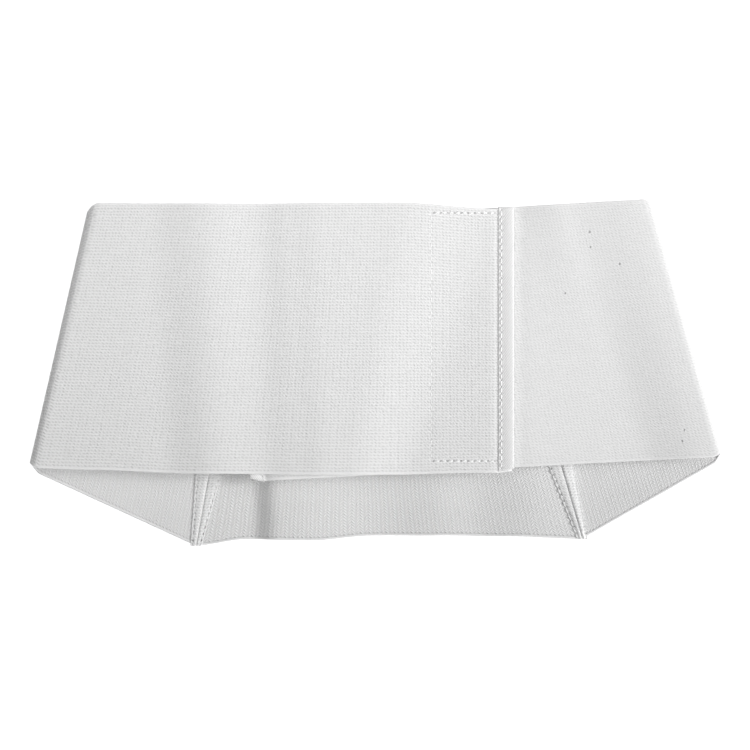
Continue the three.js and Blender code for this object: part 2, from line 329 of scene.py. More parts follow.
def inner_z(x, y):
    down = share_down(y)
    under = outer_z(np.minimum(x, outer_end), y) - layer_step(x)
    base = 2 * fold_radius * lerp(*RIGHT_SHARES, down)
    free = cloth / 2 + base + fold_height * rise_at(RIGHT_WAVES, x, wave_x(down))
    return lerp(under, free, smooth(x, outer_end, wave_x(down)(RIGHT_WAVES[0])))


# %% Points on and off the cloth's middle
def folded_layer(fold, front_z):
    def layer(flat):
        plan, turn = fold.bend(flat)
        x, y = plan[..., 0], plan[..., 1]
        z = lerp(back_z(x), front_z(x, y), (1 + squared(np.cos(turn))) / 2)
        return together(x, y, z)
    return layer


def back_layer(flat):
    return together(flat[..., 0], flat[..., 1], back_z(flat[..., 0]))


outer_layer = folded_layer(left_fold, outer_z)
inner_layer = folded_layer(right_fold, inner_z)


def normals_of(layer, flat, probe=0.05 * MM):
    """The cloth's upward side in front, which turns to the table in the back."""
    along_x = layer(flat + [probe, 0]) - layer(flat - [probe, 0])
    along_y = layer(flat + [0, probe]) - layer(flat - [0, probe])
    normal = np.cross(along_x, along_y)
    return normal / np.linalg.norm(normal, axis=-1, keepdims=True)


def off_layer(layer, flat, lift):
    return layer(flat) + np.asarray(lift)[..., None] * normals_of(layer, flat)


# %% Where the drawing stands in the frame
binding_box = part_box("outer_end_binding")
hook_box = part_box("hook_strip")
hook_right = outer_end - binding_width - clearance
hook_upper = outer_waist_y(np.float64(hook_right)) - hook_drop
shift = np.array([binding_box[1][0] - outer_end, hook_box[1][1] - hook_upper, 0])
print("the drawing moves by", [round(value / MM, 2) for value in shift], "mm")

# %% [markdown]
# ## Closed cloth
# Real cloth has two faces and a rolled selvedge, so each piece here is two grids that share their
# edges, closed at the ends. A Solidify modifier would be quicker, but it gives square edges and the
# same face on both sides, and the ribs here differ from one face to the other.


# %% Join two sides into one closed wall
def closed_wall(upper, lower):
    """upper and lower are grids of stations by rows that meet in their first and last rows."""
    count, rows = upper.shape[:2]
    ring = np.concatenate([upper, lower[:, -2:0:-1]], axis=1)
    size = ring.shape[1]
    first = np.arange(count - 1)[:, None] * size
    here = np.arange(size)[None, :]
    after = (here + 1) % size
    sides = np.stack([first + here, first + after, first + size + after, first + size + here], axis=-1)
    faces = sides.reshape(-1, 4).tolist()
    kinds = np.tile(np.where(here[0] < rows - 1, 0, 1), count - 1).tolist()
    for base, turned in ((0, True), ((count - 1) * size, False)):
        for i in range(rows - 1):
            cap = [base + i, base + i + 1, base + (size - i - 1) % size, base + (size - i) % size]
            cap = list(dict.fromkeys(cap))
            faces.append(cap[::-1] if turned else cap)
            kinds.append(0)
    return ring.reshape(-1, 3), faces, kinds


def volume_of(points, faces):
    total = 0
    for face_size in (3, 4):
        chosen = np.array([face for face in faces if len(face) == face_size])
        if len(chosen):
            corners = points[chosen]
            for i in range(1, face_size - 1):
                total += np.einsum("ij,ij->", corners[:, 0], np.cross(corners[:, i], corners[:, i + 1]))
    return total / 6


def facing_out(points, faces):
    """The same faces, turned round where the wall would be inside out."""
    return [face[::-1] for face in faces] if volume_of(points, faces) < 0 else faces


# %% Make an object that rides on the frame
def add_piece(name, points, faces, materials, kinds=None, maps=None):
    mesh = bpy.data.meshes.new(name)
    mesh.from_pydata((points + shift).tolist(), [], faces)
    for material in materials:
        mesh.materials.append(material)
    if kinds is not None:
        mesh.polygons.foreach_set("material_index", kinds)
    used = np.zeros(len(mesh.loops), dtype=np.int32)
    mesh.loops.foreach_get("vertex_index", used)
    for map_name, places in (maps or {}).items():
        layer = mesh.uv_layers.new(name=map_name)
        layer.data.foreach_set("uv", np.ascontiguousarray(places[used], dtype=np.float32).ravel())
    mesh.shade_smooth()
    mesh.update()
    piece = bpy.data.objects.new(name, mesh)
    bpy.context.scene.collection.objects.link(piece)
    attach(piece, "root")
    return piece


def add_wall(name, upper, lower, maps, materials):
    points, faces, kinds = closed_wall(upper, lower)
    faces = facing_out(points, faces)
    maps = {key: np.concatenate([grid, grid[:, -2:0:-1]], axis=1).reshape(-1, 2)
            for key, grid in maps.items()}
    piece = add_piece(name, points, faces, materials, kinds, maps)
    print(name, "has", len(faces), "faces")
    return piece


# %% [markdown]
# ## Finishes
# The binder is white all over, so its materials live on weave. The real elastic is ribbed: rubber
# threads run its length and the yarn between them leaves small gaps, painted darker as shade. An
# image of cloth would repeat and blur, so each weave is worked out from the place on the unrolled
# strip, which every mesh carries in a UV map called weave, in metres.


# %% Short ways to wire a material
class Finish:
    def __init__(self, name, roughness, sheen):
        self.material = bpy.data.materials.new(name)
        self.material.use_nodes = True
        tree = self.material.node_tree
        self.nodes, self.links = tree.nodes, tree.links
        self.shader = self.nodes["Principled BSDF"]
        self.shader.inputs["Roughness"].default_value = roughness
        self.shader.inputs["Sheen Weight"].default_value = sheen
        self.shader.inputs["Sheen Roughness"].default_value = 0.5
        self.shader.inputs["Specular IOR Level"].default_value = 0.25

    def join(self, value, socket):
        if isinstance(value, (int, float)):
            socket.default_value = value
        else:
            self.links.new(value, socket)

    def math(self, operation, *values, clamped=False):
        node = self.nodes.new("ShaderNodeMath")
        node.operation = operation
        node.use_clamp = clamped
        for value, socket in zip(values, node.inputs):
            self.join(value, socket)
        return node.outputs[0]

    def scaled(self, value, factor, offset, clamped=False):
        """value * factor + offset."""
        return self.math("MULTIPLY_ADD", value, factor, offset, clamped=clamped)

    def times(self, value, factor):
        return self.math("MULTIPLY", value, factor)

    def over(self, value, size):
        return self.math("DIVIDE", value, size)

    def place(self, map_name="weave"):
        """Distances along and across the unrolled strip, in metres."""
        source = self.nodes.new("ShaderNodeUVMap")
        source.uv_map = map_name
        parts = self.nodes.new("ShaderNodeSeparateXYZ")
        self.links.new(source.outputs["UV"], parts.inputs[0])
        return parts.outputs[0], parts.outputs[1]

    def wave(self, turns):
        """1 where turns is a whole number and 0 half way between."""
        angle = self.scaled(turns, 2 * math.pi, 0.0)
        return self.scaled(self.math("COSINE", angle), 0.5, 0.5)

    def noise(self, along, across, fine_along, fine_across, detail=2.0):
        """Even noise whose grain is fine_along by fine_across metres."""
        joined = self.nodes.new("ShaderNodeCombineXYZ")
        self.join(self.over(along, fine_along), joined.inputs[0])
        self.join(self.over(across, fine_across), joined.inputs[1])
        texture = self.nodes.new("ShaderNodeTexNoise")
        self.links.new(joined.outputs[0], texture.inputs["Vector"])
        texture.inputs["Scale"].default_value = 1.0
        texture.inputs["Detail"].default_value = detail
        texture.inputs["Roughness"].default_value = 0.5
        return texture.outputs[0]

    def mottled(self, along, across, fine_along, fine_across, tone):
        """A share near tone that wanders softly, as the white of real yarn does."""
        soft = self.noise(along, across, fine_along, fine_across, detail=3)
        return self.scaled(soft, 0.05, tone)

    def colour(self, colour, share):
        """Paints colour, made lighter or darker by a share near 1."""
        node = self.nodes.new("ShaderNodeVectorMath")
        node.operation = "SCALE"
        node.inputs[0].default_value = colour
        self.join(share, node.inputs["Scale"])
        self.links.new(node.outputs[0], self.shader.inputs["Base Color"])

    def relief(self, height, depth):
        bump = self.nodes.new("ShaderNodeBump")
        bump.inputs["Strength"].default_value = 1.0
        bump.inputs["Distance"].default_value = depth
        self.join(height, bump.inputs["Height"])
        self.links.new(bump.outputs["Normal"], self.shader.inputs["Normal"])


# %% [markdown]
# ## The elastic, outside and inside
# Outside, nearly unbroken bright rows lie 1.84 mm apart, and the gaps between them are dotted where
# the cross yarn dives under; gaps and dots are painted darker, as painted shade in these recesses.
# Inside, the yarn floats in short slanted stitches, a herringbone, with painted shade between them.
# Both patterns come from waves along and across the strip, roughened with a little noise, because
# hand drawn repeats would look printed.

# %% Weave sizes
rib_count = 87
rib_pitch = band_width / rib_count
dot_pitch = 2.17 * MM
white = (0.80, 0.80, 0.80)
print("ribs lie", round(rib_pitch / MM, 2), "mm apart")

# %% The two selvedges
selvedge = 1.2 * MM
chain_inset = 2 * MM
chain_hole = 0.7 * MM


def from_middle(finish, across):
    return finish.math("ABSOLUTE", finish.math("SUBTRACT", across, band_width / 2))


def off_selvedge(finish, across):
    """0 on the two smooth edges of the elastic and 1 on its ribbed width."""
    inward = finish.math("SUBTRACT", band_width / 2 - selvedge, from_middle(finish, across))
    return finish.scaled(inward, 1 / selvedge, 0.5, clamped=True)


def chain_row(finish, along, across):
    """The row of small holes that the edge yarn leaves just inside each selvedge, painted dark as
    shade.
    """
    inset = finish.math("SUBTRACT", from_middle(finish, across), band_width / 2 - chain_inset)
    near = finish.scaled(finish.math("ABSOLUTE", inset), -1 / chain_hole, 1.0, clamped=True)
    hole = finish.wave(finish.over(along, dot_pitch))
    return finish.times(near, finish.scaled(hole, 0.7, 0.3))


# %% Painted shade in the dimples of a sewn row
stitch_pitch = 4.1 * MM
dimple_reach = 0.75 * MM


def shaded_dimples(finish, map_name):
    """Painted shade in the dimples where a thread dives, every stitch along the row that the map
    follows.
    """
    aside, run = finish.place(map_name)
    near = finish.over(finish.math("ABSOLUTE", aside), dimple_reach)
    near = finish.math("SUBTRACT", 1.0, near, clamped=True)
    hole = finish.math("POWER", finish.wave(finish.over(run, stitch_pitch)), 5.0)
    return finish.times(near, finish.scaled(hole, 0.95, 0.05))


# %% Snags on the right of the front
WEAR_MARKS = [
    {"x": 128.7 * MM, "y": 85.8 * MM, "reach": 1.0 * MM},
    {"x": 129.3 * MM, "y": 76.7 * MM, "reach": 0.8 * MM},
    {"x": 146.8 * MM, "y": 66.4 * MM, "reach": 1.0 * MM},
    {"x": 114.2 * MM, "y": 48.9 * MM, "reach": 0.8 * MM},
    {"x": 186.0 * MM, "y": -33.8 * MM, "reach": 0.8 * MM},
    {"x": 184.8 * MM, "y": -40.5 * MM, "reach": 1.0 * MM},
]


def spot(finish, mark):
    """A small dark speck where a yarn is snagged, at a place on the unrolled strip."""
    x, y = finish.place("front")
    from_x = finish.math("SUBTRACT", x, mark["x"])
    from_y = finish.math("SUBTRACT", y, mark["y"])
    squares = finish.scaled(from_x, from_x, finish.times(from_y, from_y))
    away = finish.over(finish.math("SQRT", squares), mark["reach"])
    return finish.math("SUBTRACT", 1.0, away, clamped=True)


# %% Outer face
# how much the painted shade in the gaps between ribs darkens the outer face
outer_shade = 0.15
outer_relief = 0.18 * MM
snag_depth = 3.0


def elastic_outside(name, contrast, lean, columns, sewn_maps=(), marks=()):
    """Ribs with dotted gaps painted darker as shade: lean slants the dots, columns joins them across
    the ribs.
    """
    finish = Finish(name, roughness=0.9, sheen=0.03)
    along, across = finish.place()
    waver = finish.noise(along, across, 3.2 * MM, 1.6 * MM)
    rows = finish.scaled(waver, 0.45, finish.over(across, rib_pitch))
    gaps = finish.wave(rows)
    in_gap = finish.math("WRAP", rows, 0.5, -0.5)
    drift = finish.noise(along, across, 8 * MM, 3.5 * MM)
    slant = finish.scaled(in_gap, lean, along)
    slant = finish.scaled(drift, 2.6 * MM, slant)
    dots = finish.wave(finish.over(slant, dot_pitch))
    strong = finish.wave(finish.over(slant, 2 * dot_pitch))
    dot = finish.times(dots, finish.scaled(strong, 0.4, 0.6))
    uneven = finish.noise(along, across, 1.9 * MM, 0.9 * MM, detail=3)
    deep = finish.scaled(dot, 0.42, 0.5)
    deep = finish.times(deep, finish.scaled(uneven, 2.6, -0.3, clamped=True))
    column = finish.times(dots, finish.scaled(uneven, columns, 0.02))
    dark = finish.math("ADD", finish.times(gaps, deep), column)
    dark = finish.times(dark, contrast)
    dark = finish.times(dark, off_selvedge(finish, across))
    for map_name, depth in sewn_maps:
        dark = finish.scaled(shaded_dimples(finish, map_name), depth, dark)
    for mark in marks:
        dark = finish.scaled(spot(finish, mark), snag_depth, dark)
    tone = finish.mottled(along, across, 14 * MM, 9 * MM, 1.0)
    # painted shade: the gaps, dots and stitch dimples darken the white as shade would; the snags are
    # real marks
    finish.colour(white, finish.scaled(dark, -outer_shade, tone))
    finish.relief(finish.scaled(dark, -1.0, 1.0), outer_relief)
    return finish.material


# %% Inner face
inner_shade = 0.17
inner_relief = 0.3 * MM


def elastic_inside(name, contrast):
    """Short bright stitches that lean to and fro from column to column, with painted shade between
    them.
    """
    finish = Finish(name, roughness=0.9, sheen=0.03)
    along, across = finish.place()
    drift = finish.noise(along, across, 20 * MM, 20 * MM)
    column = finish.over(finish.scaled(drift, 1.2 * MM, along), 2 * dot_pitch)
    zigzag = finish.math("PINGPONG", column, 0.5)
    waver = finish.noise(along, across, 3.2 * MM, 1.6 * MM)
    rows = finish.scaled(waver, 0.5, finish.over(across, rib_pitch))
    slanted = finish.wave(finish.scaled(zigzag, 2.0, rows))
    between = finish.wave(finish.times(column, 2.0))
    side = finish.wave(column)
    uneven = finish.noise(along, across, 2.0 * MM, 1.2 * MM, detail=3)
    dash = finish.math("POWER", finish.math("SUBTRACT", 1.0, slanted), 1.4)
    dash = finish.times(dash, finish.scaled(between, -0.8, 1.0))
    dash = finish.times(dash, finish.scaled(side, -0.3, 1.0))
    dash = finish.times(dash, finish.scaled(uneven, 2.2, -0.1))
    dark = finish.times(finish.math("SUBTRACT", 0.9, dash), off_selvedge(finish, across))
    dark = finish.scaled(chain_row(finish, along, across), 0.9, dark)
    tone = finish.mottled(along, across, 12 * MM, 12 * MM, 0.985)
    # painted shade: darker between the stitches and in the chain row's holes, besides the bump
    finish.colour(white, finish.scaled(dark, -inner_shade * contrast, tone))
    finish.relief(finish.scaled(dark, -1.0, 1.0), inner_relief * contrast)
    return finish.material


# %% Tape, thread and nylon
twill_shade = 0.04
# how strongly the painted shade of the tape's stitch dimples darkens it
twill_shaded_dimples = 3.0


def fine_cloth(name, colour, roughness, sheen, grain_size, depth, sewn_maps=()):
    """A close diagonal twill, also for thread and nylon, where it is too fine to be seen."""
    finish = Finish(name, roughness, sheen)
    fine_along, fine_across = grain_size
    along, across = finish.place()
    turns = finish.math("ADD", finish.over(along, fine_along), finish.over(across, fine_across))
    uneven = finish.noise(along, across, 2 * fine_along, 2 * fine_across, detail=3)
    grain = finish.times(finish.wave(turns), finish.scaled(uneven, 1.6, 0.2))
    # painted shade in the stitch dimples darkens the tape
    for map_name in sewn_maps:
        grain = finish.scaled(shaded_dimples(finish, map_name), twill_shaded_dimples, grain)
    tone = finish.mottled(along, across, 5 * MM, 7 * MM, 0.985)
    finish.colour(colour, finish.scaled(grain, -twill_shade, tone))
    finish.relief(finish.times(grain, -1.0), depth)
    return finish.material


# %% Every finish of the binder
right_lean, left_lean = 1.5 * MM, -1.5 * MM
outside = elastic_outside("ribbed_elastic", 1.35, right_lean, 0.35,
                          [("patch_rows", 1.8), ("patch_column", 0.2)])
calm_outside = elastic_outside("calm_elastic", 0.68, left_lean, 0.8, marks=WEAR_MARKS)
plain_outside = elastic_outside("plain_elastic", 0.75, left_lean, 0.8)
sewn_down = elastic_outside("sewn_elastic", 1.3, right_lean, 0.5, [("sewing", 2.4)])
inside = elastic_inside("herringbone_elastic", 1.0)
calm_inside = elastic_inside("calm_herringbone", 0.68)
tape = fine_cloth("binding_tape", (0.79, 0.79, 0.79), 0.9, 0.03, (1.5 * MM, 1.9 * MM), 0.12 * MM,
                  ["sewing"])
thread = fine_cloth("sewing_thread", (0.98, 0.98, 0.98), 0.6, 0.1, (0.5 * MM, 0.5 * MM), 0.02 * MM)
nylon = fine_cloth("hook_nylon", (0.80, 0.80, 0.78), 0.45, 0.0, (1.2 * MM, 1.2 * MM), 0.02 * MM)
print("finishes:", [material.name for material in bpy.data.materials])

# %% [markdown]
# ## Rows and stations
# A sheet is a grid: rows run along the strip, four to a rib, and stations cross it. The first rows
# at each edge lie close together, so that the selvedge is round. Where a seam is sewn, the stations
# lie closer too. Subdividing an even grid would reach the same detail with many more faces.

# %% Rows across the strip
rows_per_rib = 4
rib_depth = 0.06 * MM
edge_steps = np.array([0, 0.06, 0.2, 0.45, 0.8]) * MM
first_even_row = 1.1 * MM
even_rows = np.arange(1, rib_count * rows_per_rib) / (rib_count * rows_per_rib)
even_rows = even_rows[np.minimum(even_rows, 1 - even_rows) > first_even_row / band_width]
rows = np.concatenate([edge_steps / band_width, even_rows, 1 - edge_steps[::-1] / band_width])
from_edge = np.minimum(rows, 1 - rows) * band_width
print(len(rows), "rows from the waist edge to the hem")


def rounding(distance, radius):
    """Half thickness of a round edge, as a share, at a distance from the edge."""
    return np.sqrt(1 - (1 - np.clip(distance / radius, 0, 1)) ** 2)


# %% The size that a sheet was cut to
def cut_size(waist, hem):
    """The length of its longer edge and the area of its unrolled outline."""
    outline = np.concatenate([waist, hem[::-1]])
    following = np.roll(outline, -1, axis=0)
    area = abs(np.sum(outline[:, 0] * following[:, 1] - outline[:, 1] * following[:, 0])) / 2
    length = max(np.linalg.norm(np.diff(side, axis=0), axis=1).sum() for side in (waist, hem))
    return length, area


# %% A sheet through stations
ribs_begin = 0.6 * MM


def cloth_sheet(name, layer, waist, hem, thickness, furrows, outer_face, inner_face,
                sewing=None, turned=False):
    """waist and hem hold the two ends of each station on the unrolled strip."""
    flat = lerp(waist[:, None, :], hem[:, None, :], rows[None, :, None])
    half = thickness[:, None] / 2 * rounding(from_edge, cloth / 2)[None, :]
    rib = rib_depth * 0.5 * (1 + np.cos(2 * math.pi * rib_count * rows))[None, :]
    rib = rib * smooth(from_edge, selvedge - ribs_begin, selvedge + ribs_begin)[None, :]
    upper_lift = half - rib
    lower_lift = -half + rib
    for furrow in furrows:
        upper_lift = upper_lift - furrow(flat)
    upper = off_layer(layer, flat, upper_lift)
    lower = off_layer(layer, flat, lower_lift)
    middle = lerp(waist, hem, 0.5)
    travelled = np.concatenate([[0], np.cumsum(np.linalg.norm(np.diff(middle, axis=0), axis=1))])
    maps = {"weave": together(travelled[:, None], rows * band_width)}
    if sewing:
        maps.update(sewing(flat))
    faces_of_cloth = [inner_face, outer_face] if turned else [outer_face, inner_face]
    piece = add_wall(name, upper, lower, maps, faces_of_cloth)
    return piece, *cut_size(waist, hem)


# %% Stations of each stretch
station_step = 4 * MM
fold_steps = 26


def line_ends(x_waist, x_hem, waist_y, hem_y):
    x_waist, x_hem = np.asarray(x_waist, float), np.asarray(x_hem, float)
    return together(x_waist, waist_y(x_waist)), together(x_hem, hem_y(x_hem))


def spaced(start, end, step):
    return np.linspace(start, end, max(2, round(abs(end - start) / step) + 1))


def round_ends(fold, waist, hem, waist_out, hem_out):
    share = np.linspace(0, 1, fold_steps + 1)[1:]
    corner = np.sin(math.pi * share)[:, None]
    rounded = 1 - np.abs(np.cos(math.pi * share))[:, None] ** 1.5
    share = share[:, None]
    top = lerp(waist, waist_out, share) - fold.up * 1.5 * waist_corner * rounded
    foot = lerp(hem, hem_out, share) + fold.up * hem_corner * corner
    return top, foot


# %% The back's seams
def seam_line(side):
    hem_y = front_hem - back_drop + side * back_tilt / 2
    hem = np.array([back_hem_shift + side * back_hem_width / 2, hem_y])
    waist = np.array([back_top_shift + side * back_top_width / 2, hem_y + back_height])
    return waist, hem


def side_of_back(fold):
    """From the round of a fold to its seam, on the unrolled strip."""
    seam = [fold.unbend(end + [fold.side * clearance / 2, 0]) for end in seam_line(fold.side)]
    out = [fold.leaves_round(fold.top, seam[0]), fold.leaves_round(fold.foot, seam[1])]
    share = spaced(0, 1, station_step / np.linalg.norm(seam[1] - out[1]))[1:, None]
    return out, lerp(out[0], seam[0], share), lerp(out[1], seam[1], share)


# %% A stretch from its bound end to its seam
end_insets = np.array([binding_tape + clearance, 4 * MM, binding_width + clearance,
                       binding_width + clearance + cloth / 2])
end_thickness = np.array([pressed_cloth, pressed_cloth, pressed_cloth, cloth])


def whole_stretch(fold, front_waist, front_hem):
    """The front, the round of its fold and its side of the back, with each station's thickness."""
    out, side_waist, side_hem = side_of_back(fold)
    round_waist, round_hem = round_ends(fold, front_waist[-1], front_hem[-1], *out)
    waist = np.concatenate([front_waist, round_waist, side_waist])
    hem = np.concatenate([front_hem, round_hem, side_hem])
    thickness = np.full(len(waist), cloth)
    thickness[:len(end_thickness)] = end_thickness
    return waist, hem, thickness


# %% [markdown]
# ## The outer stretch
# One length of elastic runs from the bound end in front, round the left fold and to the left back
# seam. The square of hooks sewn under its end pulls a stitched furrow into the face, so a furrow is
# pressed into the grid itself and not only shaded.


# %% Furrows along a sewn line
def first_hole(length):
    """Distance from the start of a row to the first hole, the holes centred in the row."""
    return (length % stitch_pitch) / 2


def furrow_along(start, end, depth, width):
    """A soft groove in the cloth along a straight line of the unrolled strip."""
    start, end = np.array(start), np.array(end)
    length = np.linalg.norm(end - start)
    along = (end - start) / length
    aside = np.array([-along[1], along[0]])

    def furrow(flat):
        away = flat - start
        run = away @ along
        outside_run = np.maximum(np.maximum(-run, run - length), 0)
        gap = np.hypot(away @ aside, outside_run)
        pull = 0.65 + 0.35 * np.cos(2 * math.pi * (run - first_hole(length)) / stitch_pitch)
        return depth * pull * np.exp(-(gap / width) ** 2)
    return furrow


# %% Where the hook patch is sewn
patch_left = 33.2 * MM
patch_right = 73 * MM
patch_top = 97.2 * MM
patch_bottom = -52.5 * MM
patch_furrow = 0.2 * MM
patch_furrow_width = 0.9 * MM
PATCH_LINES = [
    ((patch_left, patch_top), (patch_right, patch_top)),
    ((patch_left, patch_bottom), (patch_right, patch_bottom)),
    ((patch_left, patch_bottom), (patch_left, patch_top)),
]
patch_furrows = [furrow_along(start, end, patch_furrow, patch_furrow_width)
                 for start, end in PATCH_LINES]


def patch_maps(flat):
    """Where each point lies from the patch's two rows and its column, and how far along them."""
    x, y = flat[..., 0], flat[..., 1]
    far = 50 * MM
    from_row = np.where(y > (patch_top + patch_bottom) / 2, y - patch_top, y - patch_bottom)
    from_row = np.where(x > patch_left - 0.4 * MM, from_row, far)
    from_column = np.where((y < patch_top) & (y > patch_bottom), x - patch_left, far)
    row_run = x - patch_left - first_hole(patch_right - patch_left)
    column_run = y - patch_bottom - first_hole(patch_top - patch_bottom)
    return {"patch_rows": together(from_row, row_run),
            "patch_column": together(from_column * 2.5, column_run)}


# %% The outer stretch
sewn_zone = 3 * MM
fine_step = 0.5 * MM
front_stations = 48
settle_x = patch_left - 2 * sewn_zone
near_end = outer_end - end_insets
stitched_x = np.concatenate([
    spaced(near_end[-1], patch_left + sewn_zone, station_step)[1:],
    spaced(patch_left + sewn_zone, patch_left - sewn_zone, fine_step)[1:],
    [settle_x],
])
front_share = np.linspace(0, 1, front_stations)[1:]
outer_x = [np.concatenate([near_end, stitched_x, lerp(settle_x, reach, front_share)])
           for reach in (left_fold.top[0], left_fold.foot[0])]
outer_front = line_ends(*outer_x, outer_waist_y, outer_hem_y)
outer_cloth, outer_length, outer_area = cloth_sheet(
    "outer_band_cloth", outer_layer, *whole_stretch(left_fold, *outer_front), patch_furrows,
    outside, calm_inside, patch_maps)
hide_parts("outer_band")
print("outer stretch:", round(outer_length, 3), "m long,", round(outer_area, 4), "square metres")

# %% [markdown]
# ## The inner stretch
# The other length starts under the first, crosses the right of the front, turns round the right fold
# and ends at the right back seam. Its inner end is bound too, and a row of stitches holds the tape.

# %% The inner stretch
inner_end_waist = inner_end - inner_width * math.sin(inner_tilt)
inner_near = [inner_end_waist + end_insets, inner_end + end_insets]
cross_stations = 66
cross_share = np.linspace(0, 1, cross_stations)[1:]
inner_x = [np.concatenate([near, lerp(near[-1], reach, cross_share)])
           for near, reach in zip(inner_near, (right_fold.top[0], right_fold.foot[0]))]
inner_front = line_ends(*inner_x, inner_waist_y, inner_hem_y)


dip_depth = 1.1 * MM
dip_width = 5.5 * MM


def front_map(flat):
    return {"front": flat}


def beside_binding(flat):
    """The dip that the bound end above presses into the cloth under it."""
    away = np.maximum(flat[..., 0] - outer_end, 0)
    return dip_depth * np.exp(-(away / dip_width) ** 2)


inner_cloth, inner_length, inner_area = cloth_sheet(
    "inner_band_cloth", inner_layer, *whole_stretch(right_fold, *inner_front), [beside_binding],
    calm_outside, inside, front_map)
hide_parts("inner_band")
print("inner stretch:", round(inner_length, 3), "m long,", round(inner_area, 4), "square metres")

# %% [markdown]
# ## The centre back
# A wedge of the same elastic joins the two stretches, wider at the hem than at the waist, so that the
# binder fits hips. It lies on the table with its inner face up.

# %% Centre back panel
left_seam, right_seam = seam_line(-1), seam_line(1)
back_share = spaced(0, 1, station_step / back_hem_width)
back_inset = lerp(clearance / 2, -clearance / 2, back_share)
back_waist = lerp(left_seam[0], right_seam[0], back_share[:, None])
back_hem = lerp(left_seam[1], right_seam[1], back_share[:, None])
back_hem[:, 1] += band_width * rise_at(BACK_HEM, 2 * back_share - 1, lambda row: row["at"])
back_waist[:, 0] += back_inset
back_hem[:, 0] += back_inset
back_cloth, back_length, back_area = cloth_sheet(
    "centre_back_cloth", back_layer, back_waist, back_hem, np.full(len(back_share), cloth), [],
    plain_outside, inside, turned=True)
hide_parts("centre_back_panel")
print("centre back:", round(back_length, 3), "m long,", round(back_area, 4), "square metres")

# %% [markdown]
# ## Bound ends
# A folded tape grips each cut end, with one row of stitches near its open side. Its section is a U
# with a round nose, drawn once and carried along the end, and each stitch pulls a small dimple.

# %% The tape's section
binding_row = 1.6 * MM
row_margin = 1.5 * MM
groove_width = 0.9 * MM
nose_steps = 14
flat_steps = 9


def tape_side(reach, furrow_depth):
    """Points of one side of the U, from its upper raw edge round the nose to the lower one."""
    nose = binding_width - binding_reach
    run = np.concatenate([np.linspace(0, 0.6, 4)[:-1] * MM, spaced(0.6 * MM, nose, nose / flat_steps)])
    turn = np.linspace(math.pi / 2, -math.pi / 2, nose_steps + 1)[1:-1]
    nose_x = nose + reach * squared(np.cos(turn))
    nose_z = reach * squared(np.sin(turn))
    x = np.concatenate([run, nose_x, run[::-1]])
    z = np.concatenate([np.full(len(run), reach), nose_z, np.full(len(run), -reach)])
    groove = furrow_depth * np.exp(-((x - binding_row) / groove_width) ** 2)
    return x, z, groove


# %% Pressed thin along the stitches, full towards the nose
row_groove = 0.28 * MM
pressed_share = 0.4
pressed_width = 5.5 * MM
nose_drop = 0.2
nose_run = 5 * MM
tape_x, tape_z, tape_groove = tape_side(binding_reach, row_groove)
slot_x, slot_z, slot_groove = tape_side(binding_reach - binding_tape, 0)
pressed = 1 - pressed_share * np.exp(-(tape_x / pressed_width) ** 2)
pillow = 1 - nose_drop * smooth(tape_x, binding_width - nose_run, binding_width)
tape_z = tape_z * pressed * pillow
middle_x = (tape_x + slot_x) / 2
middle_z = (tape_z + slot_z) / 2
edge = np.minimum(np.arange(len(tape_x)), np.arange(len(tape_x))[::-1])
swell = rounding(edge * 0.2 * MM, 0.6 * MM)
print("the tape's section has", len(tape_x), "points on each side")

# %% One bound end
binding_step = 0.85 * MM
end_round = 1.2 * MM


def end_binding(name, node, layer, x_waist, x_hem, waist_y, hem_y, inward, foot_slant):
    """The section carried from the waist edge to the hem, with a dimple at each stitch."""
    top_y, foot_y = waist_y(x_waist) + clearance, hem_y(x_hem) - clearance
    share = spaced(0, 1, binding_step / band_width)
    closing = rounding(np.minimum(share, 1 - share) * band_width, end_round)
    closing = np.maximum(closing, 0.25)
    run = share * (top_y - foot_y)
    row_run = run - row_margin - first_hole(top_y - foot_y - 2 * row_margin)
    dimple = 0.55 + 0.45 * np.cos(2 * math.pi * row_run / stitch_pitch)
    slant = foot_slant * smooth(share, 0.9, 1)[:, None]

    def side(x, z, groove):
        section_x = middle_x + (x - middle_x) * swell
        section_z = middle_z + (z - middle_z) * swell
        lift = section_z - np.sign(section_z) * groove * dimple[:, None]
        x_here = lerp(x_waist, x_hem, share)[:, None] + inward * (binding_width - section_x)
        y_here = lerp(top_y, foot_y, share)[:, None] + slant * section_x / binding_width
        return off_layer(layer, together(x_here, y_here), lift * closing[:, None] ** 0.3)
    upper = side(tape_x, tape_z, tape_groove)
    lower = side(slot_x, slot_z, slot_groove)
    maps = {"weave": together(tape_x + tape_z, run[:, None]),
            "sewing": together(tape_x - binding_row, row_run[:, None])}
    piece = add_wall(name, upper, lower, maps, [tape, tape])
    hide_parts(node)
    return piece


OUTER_END = (outer_layer, outer_end, outer_end, outer_waist_y, outer_hem_y, -1)
INNER_END = (inner_layer, inner_end_waist, inner_end, inner_waist_y, inner_hem_y, 1)
outer_binding = end_binding("outer_binding_tape", "outer_end_binding", *OUTER_END, 1.7 * MM)
inner_binding = end_binding("inner_binding_tape", "inner_end_binding", *INNER_END, 2.1 * MM)

# %% [markdown]
# ## Hook tape
# The hooks hide between the two layers and grip the inner stretch's face. They are a field of small
# bent studs on a thin base. Each is six faces, since thousands of round hooks would weigh more than
# all the cloth and nobody would see them.

# %% Base of the hook tape
hook_left = outer_end - binding_width - hook_width
hook_base = 0.5 * MM
hook_lift = -(cloth / 2 + clearance)


